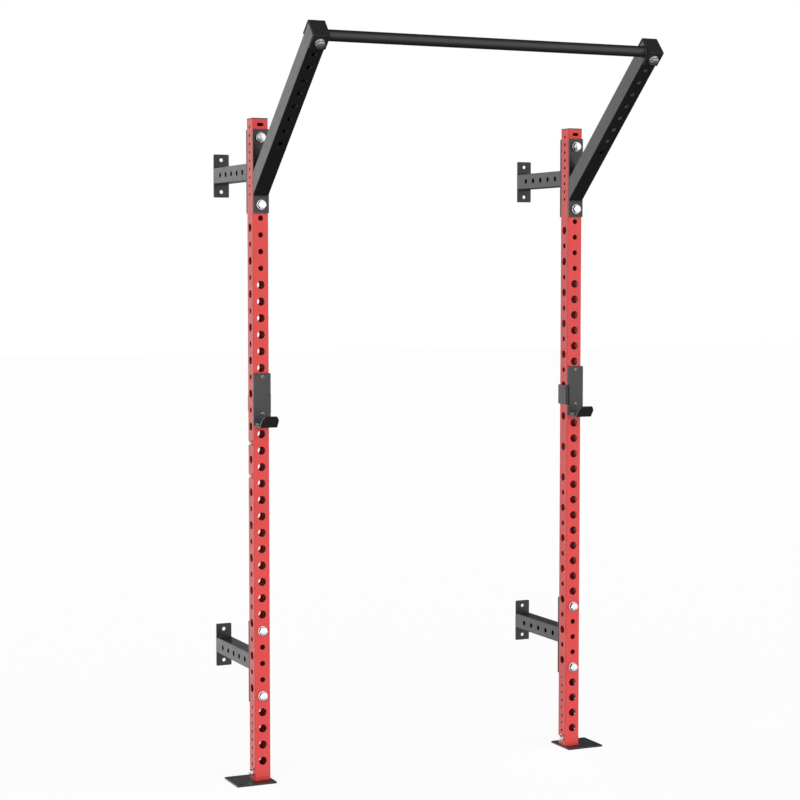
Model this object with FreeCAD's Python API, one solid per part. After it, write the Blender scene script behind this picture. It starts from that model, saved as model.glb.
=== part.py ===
"""Two-post squat rack that stands on the floor and bolts back to a wall.

Frame: the origin is on the floor, midway between the uprights and on their centre plane.
X runs across the rack, Y points at the wall and Z is up.
Each function makes one physical piece, or one set of identical fasteners, in its place on the rack.
"""
import FreeCAD, Part
import math
import os

os.makedirs("parts", exist_ok=True)

# Square tube stock
tube_side = 50.0
tube_wall = 3.0
tube_corner_radius = 4.0
tube_bore_radius = 1.0
plate_thickness = 5.0

# Uprights
post_spacing = 1080.0
post_back_gap = 302.0
post_top_z = 2011.0
hole_pitch = 50.0
first_hole_z = 65.0
large_hole_radius = 12.5
small_hole_radius = 8.2
front_large_rows = list(range(1, 5)) + list(range(10, 31))
front_small_rows = list(range(5, 10)) + list(range(31, 35))
side_hole_offset = 22.0
side_rows = range(5, 34)
accessory_rows = (18, 20)
dot_radius = 4.75
dot_pitch = 25.0
top_dot_first_z = 1787.0
top_dot_count = 9
bottom_dot_first_z = 53.0
bottom_dot_count = 8
top_slot_z = 1994.0
top_slot_length = 21.0
top_slot_radius = 5.0

# Plastic cap in the top of each upright
cap_thickness = 2.5
cap_plug_depth = 9.0
cap_plug_gap = 0.25
cap_plug_wall = 2.5

# Feet
foot_plate_inner_x = 508.0
foot_plate_outer_x = 635.0
foot_plate_depth = 120.0
foot_corner_radius = 3.0
foot_anchor_x = 617.0
foot_anchor_spacing = 90.0
foot_anchor_radius = 6.0
foot_stub_gap = 0.5
foot_stub_height = 40.0
foot_bolt_z = 28.0

# Arms that tie the uprights to the wall
wall_plate_height = 135.0
wall_plate_corner_radius = 3.0
wall_hole_spacing = 100.0
wall_hole_radius = 6.0
joint_plate_height = 250.0
joint_bolt_spacing = 200.0
lower_joint_z = 365.0
upper_joint_z = 1855.0
wall_arm_hole_first = 34.0
wall_arm_hole_count = 5

# Pull-up arms
arm_angle = math.radians(41.7)
arm_foot_z = 1783.0
arm_depth = 55.0
arm_length = 636.5
arm_hole_first = 216.0
arm_hole_count = 9

# U-shaped strap on the end of each pull-up arm
strap_end_gap = 1.5
strap_leg_start = 591.0
strap_outer_bend = 4.0
strap_inner_bend = 1.5
strap_bolt_distance = 616.0

# Pull-up bar
bar_radius = 16.5
bar_wall = 3.0
bar_distance = 620.0
bar_depth = 23.0

# M16 fasteners
m16_radius = 8.0
m16_flats = 24.0
m16_head_height = 10.0
m16_nut_height = 13.0
m16_washer_radius = 15.0
m16_washer_thickness = 3.0
m16_thread_past_nut = 3.0

# M12 foot bolts
m12_radius = 6.0
m12_flats = 18.0
m12_head_height = 7.5
m12_nut_height = 10.0
m12_washer_radius = 12.0
m12_washer_thickness = 2.5
m12_thread_past_nut = 3.0

# M8 accessory bolts held in rivet nuts
m8_radius = 4.0
m8_flats = 13.0
m8_head_height = 5.3
m8_washer_radius = 8.0
m8_washer_thickness = 1.6
m8_bolt_length = 16.0
rivet_nut_radius = 5.5
rivet_nut_length = 15.0

fastener_gap = 0.1
hex_sides = 6
bolt_chamfer = 1.0

# Turning and edge picking
quarter_turn = 90.0
along_limit = 0.5

# J-cups
cup_gap = 0.5
cup_inner_x = 513.5
cup_outer_x = 567.5
cup_bottom_z = 1088.5
cup_top_z = 1249.5
cup_lip_start = 62.0
cup_lip_angle = math.radians(36.0)
cup_lip_length = 40.0
cup_lip_chamfer_x = 9.0
cup_lip_chamfer_z = 13.0
cup_outer_bend = 7.0
cup_inner_bend = 2.0
flange_bottom_z = 1126.0
flange_top_z = 1188.0
flange_tab_end_x = 563.0
flange_tab_chamfer = 7.0
liner_thickness = 4.0
liner_corner_radius = 4.0
liner_notch_width = 4.0
liner_notch_margin = 2.0
saddle_thickness = 8.0
saddle_front = 54.0
saddle_side_margin = 1.0
saddle_corner_radius = 2.0
cup_screw_low_z = 1128.0
cup_screw_high_z = 1238.5
cup_screw_radius = 3.0
cup_screw_head_radius = 5.5
cup_screw_head_height = 3.0
cup_screw_socket_flats = 4.0
cup_screw_socket_depth = 1.8
cup_screw_head_fillet = 1.2
cup_pin_radius = 7.9
cup_pin_length = 18.0
cup_pin_chamfer = 2.0
cup_pin_row = 22

post_x = post_spacing / 2
half_tube = tube_side / 2
post_back_y = half_tube
post_front_y = -half_tube
post_mid_y = 0.0
wall_y = post_back_y + post_back_gap
post_bottom_z = plate_thickness
arm_foot_y = post_front_y - plate_thickness
x_dir = FreeCAD.Vector(1, 0, 0)
y_dir = FreeCAD.Vector(0, 1, 0)
z_dir = FreeCAD.Vector(0, 0, 1)
arm_dir = FreeCAD.Vector(0, -math.cos(arm_angle), math.sin(arm_angle))
arm_depth_dir = FreeCAD.Vector(0, math.sin(arm_angle), math.cos(arm_angle))


def save(name, shape):
    """Write one piece, or one set of loose fasteners, to its STEP file."""
    shape.exportStep("parts/" + name + ".step")


def vec(x, y, z):
    return FreeCAD.Vector(x, y, z)


def span_box(low, high):
    """Block between two opposite corners."""
    size = high - low
    return Part.makeBox(size.x, size.y, size.z, low)


def mirrored(shape):
    """The same piece on the other upright."""
    return shape.mirror(vec(0, 0, 0), x_dir)


def runs_along(edge, direction):
    """True for an edge whose start points along the direction, or against it."""
    return abs(edge.tangentAt(edge.FirstParameter).dot(direction)) > along_limit


def rounded_bar(width, depth, length, radius):
    """Solid bar with a rounded rectangular section, centred on Z, from Z = 0 up."""
    bar = Part.makeBox(width, depth, length, vec(-width / 2, -depth / 2, 0))
    edges = [edge for edge in bar.Edges if runs_along(edge, z_dir)]
    return bar.makeFillet(radius, edges)


def hollow_tube(depth, length):
    """Hollow section of the common width and a given depth, centred on Z, from Z = 0 up."""
    outer = rounded_bar(tube_side, depth, length, tube_corner_radius)
    bore_side = tube_side - 2 * tube_wall
    return outer.cut(rounded_bar(bore_side, depth - 2 * tube_wall, length, tube_bore_radius))


def drill(shape, centres, direction, radius, depth):
    """Drill round holes of one size, each starting at its centre and running along the direction."""
    tools = [Part.makeCylinder(radius, depth, centre, direction) for centre in centres]
    return shape.cut(tools)


def hex_prism(flats, height, base, direction):
    """Hexagonal head or nut blank with chamfered outer corners."""
    corner = flats / math.sqrt(3)
    turn = 2 * math.pi / hex_sides
    points = [vec(corner * math.cos(i * turn), corner * math.sin(i * turn), 0) for i in range(hex_sides + 1)]
    prism = Part.Face(Part.makePolygon(points)).extrude(vec(0, 0, height))
    trim = Part.makeCone(corner + height, flats / 2 - bolt_chamfer / 2, height + corner - flats / 2)
    body = prism.common(trim.translated(vec(0, 0, flats / 2 - corner)))
    body.Placement = FreeCAD.Placement(base, FreeCAD.Rotation(z_dir, direction))
    return body


def washer(radius, bore, thickness, base, direction):
    disc = Part.makeCylinder(radius, thickness, base, direction)
    return disc.cut(Part.makeCylinder(bore + fastener_gap, thickness, base, direction))


def nut(flats, bore, height, base, direction):
    blank = hex_prism(flats, height, base, direction)
    return blank.cut(Part.makeCylinder(bore + fastener_gap, height, base, direction))


def bolt(flats, head, radius, reach, base, direction):
    """Hex bolt: the head stands outside the base point and the shank runs along the direction."""
    back = direction * -1
    head_part = hex_prism(flats, head, base, back)
    shank = Part.makeCylinder(radius, reach - bolt_chamfer, base, direction)
    tip_base = base + direction * (reach - bolt_chamfer)
    tip = Part.makeCone(radius, radius - bolt_chamfer, bolt_chamfer, tip_base, direction)
    return head_part.fuse([shank, tip]).removeSplitter()


def row_z(row):
    """Height of a front hole, counted up from the lowest one."""
    return first_hole_z + (row - 1) * hole_pitch


def side_row_z(row):
    """Height of the side hole that sits just above a front row."""
    return row_z(row) + side_hole_offset


def joint_bolt_heights():
    half = joint_bolt_spacing / 2
    return [middle + side * half for middle in (lower_joint_z, upper_joint_z) for side in (-1, 1)]


def post_front_holes(post, x):
    """Holes that run through the front and the back of an upright."""
    sizes = ((front_large_rows, large_hole_radius), (front_small_rows, small_hole_radius))
    for rows, radius in sizes:
        starts = [vec(x, post_front_y, row_z(row)) for row in rows]
        post = drill(post, starts, y_dir, radius, tube_side)
    upper = [vec(x, post_front_y, z) for z in joint_bolt_heights() if z > upper_joint_z - joint_bolt_spacing]
    return drill(post, upper, y_dir, small_hole_radius, tube_side)


def post_side_holes(post, x, outward):
    """Holes that run through both sides, and the accessory bolt holes in the outer side only."""
    start_x = x - half_tube
    rows = [row for row in side_rows if row not in accessory_rows]
    large = [vec(start_x, post_mid_y, side_row_z(row)) for row in rows if row % 2 == 1]
    small = [vec(start_x, post_mid_y, side_row_z(row)) for row in rows if row % 2 == 0]
    post = drill(post, large, x_dir, large_hole_radius, tube_side)
    post = drill(post, small, x_dir, small_hole_radius, tube_side)
    outer_face = x + outward * half_tube
    accessory = [vec(outer_face, post_mid_y, side_row_z(row)) for row in accessory_rows]
    return drill(post, accessory, x_dir * -outward, rivet_nut_radius + fastener_gap, tube_wall)


def post_dots(post, x):
    """Rows of small close-pitched holes near the top and the bottom, and the foot bolt hole."""
    start_x = x - half_tube
    top = [top_dot_first_z + i * dot_pitch for i in range(top_dot_count)]
    bottom = [bottom_dot_first_z + i * dot_pitch for i in range(bottom_dot_count)]
    starts = [vec(start_x, post_mid_y, z) for z in top + bottom]
    post = drill(post, starts, x_dir, dot_radius, tube_side)
    foot = [vec(start_x, post_mid_y, foot_bolt_z)]
    return drill(post, foot, x_dir, m12_radius + fastener_gap, tube_wall)


def post_top_slot(post, x):
    """Plain obround slot through the front wall near the top."""
    half = top_slot_length / 2 - top_slot_radius
    ends = [vec(x + side * half, post_front_y, top_slot_z) for side in (-1, 1)]
    post = drill(post, ends, y_dir, top_slot_radius, tube_wall)
    low = vec(x - half, post_front_y, top_slot_z - top_slot_radius)
    high = vec(x + half, post_front_y + tube_wall, top_slot_z + top_slot_radius)
    return post.cut(span_box(low, high))


def upright(outward):
    """Perforated square tube that stands on its foot plate."""
    x = outward * post_x
    post = hollow_tube(tube_side, post_top_z - post_bottom_z).translated(vec(x, post_mid_y, post_bottom_z))
    post = post_front_holes(post, x)
    post = post_side_holes(post, x, outward)
    post = post_dots(post, x)
    return post_top_slot(post, x)


def upright_cap(outward):
    """Moulded cap: a thin top plate with a hollow plug inside the tube."""
    base = vec(outward * post_x, post_mid_y, post_top_z)
    plug_side = tube_side - 2 * (tube_wall + cap_plug_gap)
    hollow_side = plug_side - 2 * cap_plug_wall
    top = rounded_bar(tube_side, tube_side, cap_thickness, tube_corner_radius)
    plug = rounded_bar(plug_side, plug_side, cap_plug_depth, tube_bore_radius)
    hollow = rounded_bar(hollow_side, hollow_side, cap_plug_depth, tube_bore_radius)
    plug = plug.cut(hollow).translated(vec(0, 0, -cap_plug_depth))
    return top.fuse(plug).removeSplitter().translated(base)


def foot_plate():
    """Floor plate that reaches outwards from the upright, with two anchor holes."""
    width = foot_plate_outer_x - foot_plate_inner_x
    middle_x = (foot_plate_outer_x + foot_plate_inner_x) / 2
    plate = rounded_bar(width, foot_plate_depth, plate_thickness, foot_corner_radius)
    plate = plate.translated(vec(middle_x, post_mid_y, 0))
    half = foot_anchor_spacing / 2
    anchors = [vec(foot_anchor_x, post_mid_y + side * half, 0) for side in (-1, 1)]
    return drill(plate, anchors, z_dir, foot_anchor_radius, plate_thickness)


def foot_stub(outward):
    """Short inner tube welded to the foot plate, inside the upright."""
    x = outward * post_x
    outer_side = tube_side - 2 * (tube_wall + foot_stub_gap)
    bore_side = outer_side - 2 * tube_wall
    stub = rounded_bar(outer_side, outer_side, foot_stub_height, tube_bore_radius)
    stub = stub.cut(rounded_bar(bore_side, bore_side, foot_stub_height, tube_bore_radius))
    stub = stub.translated(vec(x, post_mid_y, post_bottom_z))
    start = [vec(x - half_tube, post_mid_y, foot_bolt_z)]
    return drill(stub, start, x_dir, m12_radius + fastener_gap, half_tube)


def foot_bolt_set():
    """Bolts through the left side of each upright and its stub, with their nuts inside the stub."""
    bolts = []
    washers = []
    nuts = []
    clamped = 2 * tube_wall + foot_stub_gap
    reach = m12_washer_thickness + clamped + m12_nut_height + m12_thread_past_nut
    for outward in (-1, 1):
        side_face = vec(outward * post_x - half_tube, post_mid_y, foot_bolt_z)
        head_seat = side_face - x_dir * m12_washer_thickness
        nut_seat = side_face + x_dir * clamped
        bolts.append(bolt(m12_flats, m12_head_height, m12_radius, reach, head_seat, x_dir))
        washers.append(washer(m12_washer_radius, m12_radius, m12_washer_thickness, head_seat, x_dir))
        nuts.append(nut(m12_flats, m12_radius, m12_nut_height, nut_seat, x_dir))
    return bolts, washers, nuts


def wall_arm(outward, middle_z):
    """Square tube between the upright's joint plate and the wall plate, with side holes."""
    x = outward * post_x
    length = post_back_gap - 2 * plate_thickness
    tube = hollow_tube(tube_side, length)
    tube.rotate(vec(0, 0, 0), x_dir, -quarter_turn)
    start_y = post_back_y + plate_thickness
    tube = tube.translated(vec(x, start_y, middle_z))
    first = start_y + wall_arm_hole_first
    places = [first + i * hole_pitch for i in range(wall_arm_hole_count)]
    holes = [vec(x - half_tube, y, middle_z) for y in places]
    return drill(tube, holes, x_dir, small_hole_radius, tube_side)


def wall_plate(outward, middle_z):
    """Plate that bolts flat against the wall."""
    plate = rounded_bar(tube_side, wall_plate_height, plate_thickness, wall_plate_corner_radius)
    plate.rotate(vec(0, 0, 0), x_dir, quarter_turn)
    plate = plate.translated(vec(outward * post_x, wall_y, middle_z))
    half = wall_hole_spacing / 2
    front_y = wall_y - plate_thickness
    holes = [vec(outward * post_x, front_y, middle_z + side * half) for side in (-1, 1)]
    return drill(plate, holes, y_dir, wall_hole_radius, plate_thickness)


def joint_plate(outward, middle_z, front_y):
    """Upright-width plate with a bolt hole near each end."""
    x = outward * post_x
    low = vec(x - half_tube, front_y, middle_z - joint_plate_height / 2)
    high = vec(x + half_tube, front_y + plate_thickness, middle_z + joint_plate_height / 2)
    half = joint_bolt_spacing / 2
    holes = [vec(x, front_y, middle_z + side * half) for side in (-1, 1)]
    return drill(span_box(low, high), holes, y_dir, small_hole_radius, plate_thickness)


def joint_bolt_set():
    """Bolts that clamp the plates to the uprights, their washers and their nuts."""
    bolts = []
    washers = []
    nuts = []
    for outward in (-1, 1):
        for z in joint_bolt_heights():
            front_y = post_front_y
            if z > upper_joint_z - joint_bolt_spacing:
                front_y = arm_foot_y
            back_y = post_back_y + plate_thickness
            head_seat = vec(outward * post_x, front_y - m16_washer_thickness, z)
            back_face = vec(outward * post_x, back_y, z)
            nut_seat = back_face + y_dir * m16_washer_thickness
            reach = nut_seat.y - head_seat.y + m16_nut_height + m16_thread_past_nut
            bolts.append(bolt(m16_flats, m16_head_height, m16_radius, reach, head_seat, y_dir))
            washers.append(washer(m16_washer_radius, m16_radius, m16_washer_thickness, head_seat, y_dir))
            washers.append(washer(m16_washer_radius, m16_radius, m16_washer_thickness, back_face, y_dir))
            nuts.append(nut(m16_flats, m16_radius, m16_nut_height, nut_seat, y_dir))
    return bolts, washers, nuts


def arm_point(outward, along, depth):
    """Point in the middle plane of a pull-up arm, measured along its lower face and into the tube."""
    start = vec(outward * post_x, arm_foot_y, arm_foot_z)
    return start + arm_dir * along + arm_depth_dir * depth


def pull_up_arm(outward):
    """Square tube that rises forwards, cut to stand flat on its bracket plate."""
    tube = hollow_tube(arm_depth, arm_length + 2 * tube_side)
    tube.rotate(vec(0, 0, 0), x_dir, quarter_turn - math.degrees(arm_angle))
    tube = tube.translated(arm_point(outward, -2 * tube_side, arm_depth / 2))
    x = outward * post_x
    low = vec(x - tube_side, arm_foot_y, arm_foot_z - joint_plate_height)
    high = vec(x + tube_side, arm_foot_y + joint_plate_height, arm_foot_z + joint_plate_height)
    tube = tube.cut(span_box(low, high))
    holes = [arm_point(outward, arm_hole_first + i * hole_pitch, 0) for i in range(arm_hole_count)]
    return drill(tube, holes, arm_depth_dir, small_hole_radius, arm_depth)


def strap_profile(outward, start_along, margin, bend):
    """Flat outline wrapped round the arm's end, a given margin outside the arm's section."""
    end = arm_length + strap_end_gap + margin
    low = -margin
    high = arm_depth + margin
    shift = x_dir * half_tube
    corners = ((start_along, low), (end, low), (end, high), (start_along, high))
    points = [arm_point(outward, along, depth) - shift for along, depth in corners]
    block = Part.Face(Part.makePolygon(points + points[:1])).extrude(x_dir * tube_side)
    bends = [edge for edge in block.Edges if is_end_bend(edge, outward, end)]
    return block.makeFillet(bend, bends)


def is_end_bend(edge, outward, end):
    """True for the two cross edges at the far end of a strap block."""
    offset = edge.CenterOfMass - arm_point(outward, end, 0)
    return runs_along(edge, x_dir) and abs(offset.dot(arm_dir)) < fastener_gap


def bar_strap(outward):
    """Bent strap over the arm's end: back leg, end face and front leg, bolted through."""
    outer = strap_profile(outward, strap_leg_start, plate_thickness, strap_outer_bend)
    inner = strap_profile(outward, strap_leg_start, 0, strap_inner_bend)
    strap = outer.cut(inner)
    start = [arm_point(outward, strap_bolt_distance, -plate_thickness)]
    return drill(strap, start, arm_depth_dir, small_hole_radius, arm_depth + 2 * plate_thickness)


def strap_bolt_set():
    """One bolt, two washers and one nut on each strap."""
    bolts = []
    washers = []
    nuts = []
    for outward in (-1, 1):
        front = arm_point(outward, strap_bolt_distance, -plate_thickness)
        back = arm_point(outward, strap_bolt_distance, arm_depth + plate_thickness)
        head_seat = front - arm_depth_dir * m16_washer_thickness
        nut_seat = back + arm_depth_dir * m16_washer_thickness
        reach = (nut_seat - head_seat).Length + m16_nut_height + m16_thread_past_nut
        bolts.append(bolt(m16_flats, m16_head_height, m16_radius, reach, head_seat, arm_depth_dir))
        washers.append(washer(m16_washer_radius, m16_radius, m16_washer_thickness, head_seat, arm_depth_dir))
        washers.append(washer(m16_washer_radius, m16_radius, m16_washer_thickness, back, arm_depth_dir))
        nuts.append(nut(m16_flats, m16_radius, m16_nut_height, nut_seat, arm_depth_dir))
    return bolts, washers, nuts


def bar_centre(x):
    point = arm_point(1, bar_distance, bar_depth)
    return vec(x, point.y, point.z)


def pull_up_bar():
    """Round tube welded between the inner faces of the two arms."""
    half = post_x - half_tube
    outer = Part.makeCylinder(bar_radius, 2 * half, bar_centre(-half), x_dir)
    return outer.cut(Part.makeCylinder(bar_radius - bar_wall, 2 * half, bar_centre(-half), x_dir))


def accessory_set():
    """Short bolts with washers in rivet nuts, on the outer side of each upright."""
    bolts = []
    washers = []
    rivet_nuts = []
    for outward in (-1, 1):
        inward = x_dir * -outward
        for row in accessory_rows:
            face = vec(outward * (post_x + half_tube), post_mid_y, side_row_z(row))
            seat = face - inward * m8_washer_thickness
            bolts.append(bolt(m8_flats, m8_head_height, m8_radius, m8_bolt_length, seat, inward))
            washers.append(washer(m8_washer_radius, m8_radius, m8_washer_thickness, seat, inward))
            rivet_nuts.append(washer(rivet_nut_radius, m8_radius, rivet_nut_length, face, inward))
    return bolts, washers, rivet_nuts


def cup_profile():
    """Side view of the bent J: back plate, bottom and outward-leaning lip."""
    back = post_front_y - cup_gap
    front = back - plate_thickness
    lean = FreeCAD.Vector(0, -math.sin(cup_lip_angle), math.cos(cup_lip_angle))
    inward = FreeCAD.Vector(0, math.cos(cup_lip_angle), math.sin(cup_lip_angle)) * plate_thickness
    lip_root = vec(cup_inner_x, post_front_y - cup_lip_start, cup_bottom_z)
    lip_top = lip_root + lean * cup_lip_length
    inner_root = lip_root + inward
    inner_rise = (cup_bottom_z + plate_thickness - inner_root.z) / lean.z
    points = [
        vec(cup_inner_x, back, cup_top_z),
        vec(cup_inner_x, back, cup_bottom_z),
        lip_root,
        lip_top,
        lip_top + inward,
        inner_root + lean * inner_rise,
        vec(cup_inner_x, front, cup_bottom_z + plate_thickness),
        vec(cup_inner_x, front, cup_top_z),
    ]
    return points


def cup_hook():
    """The J itself, with bent corners and chamfered lip ends."""
    points = cup_profile()
    width = cup_outer_x - cup_inner_x
    hook = Part.Face(Part.makePolygon(points + points[:1])).extrude(x_dir * width)
    outer = [edge for edge in hook.Edges if is_cross_edge_at(edge, (points[1], points[2]))]
    hook = hook.makeFillet(cup_outer_bend, outer)
    inner = [edge for edge in hook.Edges if is_cross_edge_at(edge, (points[5], points[6]))]
    hook = hook.makeFillet(cup_inner_bend, inner)
    lip_top = points[4]
    return hook.cut([lip_corner(cup_inner_x, 1, lip_top), lip_corner(cup_outer_x, -1, lip_top)])


def is_cross_edge_at(edge, corners):
    """True for an edge that runs across the cup through one of the corners of its side view."""
    middle = edge.CenterOfMass
    gaps = [math.hypot(middle.y - corner.y, middle.z - corner.z) for corner in corners]
    return runs_along(edge, x_dir) and min(gaps) < fastener_gap


def lip_corner(x, inward, lip_top):
    """Wedge that is cut from one upper corner of the lip."""
    slope = cup_lip_chamfer_x / cup_lip_chamfer_z
    low = vec(x, lip_top.y - tube_side, lip_top.z - cup_lip_chamfer_z)
    reach = 2 * cup_lip_chamfer_z
    top = low + z_dir * reach
    side = top + x_dir * (inward * slope * reach)
    return Part.Face(Part.makePolygon([low, top, side, low])).extrude(y_dir * (2 * tube_side))


def cup_flange():
    """Bent flange that wraps the inner side and the back of the upright."""
    face_x = post_x - half_tube - cup_gap
    front_y = post_front_y - cup_gap
    back_y = post_back_y + cup_gap
    outline = [
        vec(post_x, front_y - plate_thickness, flange_bottom_z),
        vec(face_x - plate_thickness, front_y - plate_thickness, flange_bottom_z),
        vec(face_x - plate_thickness, back_y + plate_thickness, flange_bottom_z),
        vec(flange_tab_end_x, back_y + plate_thickness, flange_bottom_z),
        vec(flange_tab_end_x, back_y, flange_bottom_z),
        vec(face_x, back_y, flange_bottom_z),
        vec(face_x, front_y, flange_bottom_z),
        vec(post_x, front_y, flange_bottom_z),
    ]
    height = flange_top_z - flange_bottom_z
    flange = Part.Face(Part.makePolygon(outline + outline[:1])).extrude(z_dir * height)
    for corners, radius in ((outline[1:3], cup_outer_bend), (outline[5:7], cup_inner_bend)):
        bends = [edge for edge in flange.Edges if is_upright_edge_at(edge, corners)]
        flange = flange.makeFillet(radius, bends)
    return flange.cut([tab_corner(flange_bottom_z, 1), tab_corner(flange_top_z, -1)])


def is_upright_edge_at(edge, corners):
    """True for a vertical edge through one of the corners of the flange's plan view."""
    middle = edge.CenterOfMass
    gaps = [math.hypot(middle.x - corner.x, middle.y - corner.y) for corner in corners]
    return runs_along(edge, z_dir) and min(gaps) < fastener_gap


def tab_corner(z, inward):
    """Wedge that is cut from one corner of the flange's back tab."""
    corner = vec(flange_tab_end_x, post_back_y, z)
    along = corner - x_dir * (2 * flange_tab_chamfer)
    up = corner + z_dir * (inward * flange_tab_chamfer)
    return Part.Face(Part.makePolygon([corner, along, up, corner])).extrude(y_dir * tube_side)


def cup_body():
    """Steel body of the right J-cup: hook and flange in one bent plate, tapped for two screws."""
    body = cup_hook().fuse(cup_flange()).removeSplitter()
    starts = [vec(post_x, cup_liner_front_y(), z) for z in (cup_screw_low_z, cup_screw_high_z)]
    return drill(body, starts, y_dir, cup_screw_radius + fastener_gap / 2, tube_side / 2)


def cup_liner_front_y():
    return post_front_y - cup_gap - plate_thickness - liner_thickness


def cup_liner():
    """Flat plastic liner on the front of the J's back plate, notched beside the flange."""
    front_y = cup_liner_front_y()
    low = vec(cup_inner_x, front_y, cup_bottom_z + plate_thickness + cup_inner_bend)
    high = vec(cup_outer_x, front_y + liner_thickness, cup_top_z)
    liner = span_box(low, high)
    top = [edge for edge in liner.Edges if is_liner_top_corner(edge)]
    liner = liner.makeFillet(liner_corner_radius, top)
    notch_low = vec(cup_inner_x, front_y, flange_bottom_z - liner_notch_margin)
    notch_high = vec(cup_inner_x + liner_notch_width, high.y, flange_top_z + liner_notch_margin)
    liner = liner.cut(span_box(notch_low, notch_high))
    starts = [vec(post_x, front_y, z) for z in (cup_screw_low_z, cup_screw_high_z)]
    return drill(liner, starts, y_dir, cup_screw_radius + fastener_gap / 2, liner_thickness)


def is_liner_top_corner(edge):
    return runs_along(edge, y_dir) and edge.CenterOfMass.z > flange_top_z


def cup_saddle():
    """Plastic block on the floor of the hook, where the bar rests."""
    floor_z = cup_bottom_z + plate_thickness
    low = vec(cup_inner_x + saddle_side_margin, post_front_y - saddle_front, floor_z)
    high = vec(cup_outer_x - saddle_side_margin, cup_liner_front_y(), floor_z + saddle_thickness)
    saddle = span_box(low, high)
    front_corner = vec(0, low.y, high.z)
    rounded = [edge for edge in saddle.Edges if is_cross_edge_at(edge, (front_corner,))]
    return saddle.makeFillet(saddle_corner_radius, rounded)


def cup_screws():
    """Two button-head screws that hold the liner."""
    screws = []
    for z in (cup_screw_low_z, cup_screw_high_z):
        seat = vec(post_x, cup_liner_front_y(), z)
        head = Part.makeCylinder(cup_screw_head_radius, cup_screw_head_height, seat, y_dir * -1)
        rim = [edge for edge in head.Edges if edge.CenterOfMass.y < seat.y - cup_screw_head_height / 2]
        head = head.makeFillet(cup_screw_head_fillet, rim[:1])
        shank_length = liner_thickness + plate_thickness
        shank = Part.makeCylinder(cup_screw_radius, shank_length, seat, y_dir)
        face = seat - y_dir * cup_screw_head_height
        socket = hex_prism(cup_screw_socket_flats, cup_screw_socket_depth, face, y_dir)
        screws.append(head.fuse(shank).cut(socket).removeSplitter())
    return Part.makeCompound(screws)


def cup_pin():
    """Locating pin on the flange, which enters a side hole of the upright."""
    seat = vec(post_x - half_tube - cup_gap, post_mid_y, side_row_z(cup_pin_row))
    pin = Part.makeCylinder(cup_pin_radius, cup_pin_length - cup_pin_chamfer, seat, x_dir)
    tip_seat = seat + x_dir * (cup_pin_length - cup_pin_chamfer)
    tip = Part.makeCone(cup_pin_radius, cup_pin_radius - cup_pin_chamfer, cup_pin_chamfer, tip_seat, x_dir)
    return pin.fuse(tip).removeSplitter()


def save_pair(name, right_shape):
    """Write the right-hand piece and its mirror image."""
    save(name + "_right", right_shape)
    save(name + "_left", mirrored(right_shape))


for side_name, outward_sign in (("left", -1), ("right", 1)):
    save("upright_" + side_name, upright(outward_sign))
    save("upright_cap_" + side_name, upright_cap(outward_sign))
    save("foot_stub_" + side_name, foot_stub(outward_sign))
    save("pull_up_arm_" + side_name, pull_up_arm(outward_sign))
    save("bar_strap_" + side_name, bar_strap(outward_sign))
    save("arm_bracket_plate_" + side_name, joint_plate(outward_sign, upper_joint_z, arm_foot_y))
    for level_name, level_z in (("lower", lower_joint_z), ("upper", upper_joint_z)):
        suffix = level_name + "_" + side_name
        save("wall_arm_" + suffix, wall_arm(outward_sign, level_z))
        save("wall_plate_" + suffix, wall_plate(outward_sign, level_z))
        save("joint_plate_" + suffix, joint_plate(outward_sign, level_z, post_back_y))

save_pair("foot_plate", foot_plate())
save_pair("j_cup_body", cup_body())
save_pair("j_cup_liner", cup_liner())
save_pair("j_cup_saddle", cup_saddle())
save_pair("j_cup_screws", cup_screws())
save_pair("j_cup_pin", cup_pin())
save("pull_up_bar", pull_up_bar())

fastener_sets = (
    (("foot_bolts", "foot_bolt_washers", "foot_bolt_nuts"), foot_bolt_set()),
    (("joint_bolts", "joint_bolt_washers", "joint_bolt_nuts"), joint_bolt_set()),
    (("strap_bolts", "strap_bolt_washers", "strap_bolt_nuts"), strap_bolt_set()),
    (("accessory_bolts", "accessory_bolt_washers", "accessory_rivet_nuts"), accessory_set()),
)
for names, groups in fastener_sets:
    for set_name, solids in zip(names, groups):
        save(set_name, Part.makeCompound(solids))
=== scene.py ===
import math

import bmesh
import bpy
import numpy as np
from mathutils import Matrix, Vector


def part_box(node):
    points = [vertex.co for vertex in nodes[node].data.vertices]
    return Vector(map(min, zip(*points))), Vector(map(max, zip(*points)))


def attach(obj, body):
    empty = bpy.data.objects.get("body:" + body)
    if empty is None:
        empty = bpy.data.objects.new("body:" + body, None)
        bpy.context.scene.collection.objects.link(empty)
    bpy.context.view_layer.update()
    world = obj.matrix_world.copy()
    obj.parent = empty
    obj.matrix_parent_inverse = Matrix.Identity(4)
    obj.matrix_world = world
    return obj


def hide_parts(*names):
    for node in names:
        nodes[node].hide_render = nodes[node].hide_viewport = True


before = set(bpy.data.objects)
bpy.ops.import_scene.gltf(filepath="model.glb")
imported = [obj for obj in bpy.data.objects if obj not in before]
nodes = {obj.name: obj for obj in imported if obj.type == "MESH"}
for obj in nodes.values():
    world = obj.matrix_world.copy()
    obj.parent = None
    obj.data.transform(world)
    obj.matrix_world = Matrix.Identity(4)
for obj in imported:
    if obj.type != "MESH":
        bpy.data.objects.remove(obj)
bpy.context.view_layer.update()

# Camera: it stands to the left of the rack at breast height and looks slightly down, with a long lens.
# It is placed from the middle of the uprights' front faces on the floor.
EYE_X = -2.6903
EYE_Y = -5.7208
EYE_Z = 1.5612
EYE_TURN = math.radians(24.62)
EYE_DIP = math.radians(3.70)
LENS_MM = 90.79
SENSOR_MM = 36.0

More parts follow.
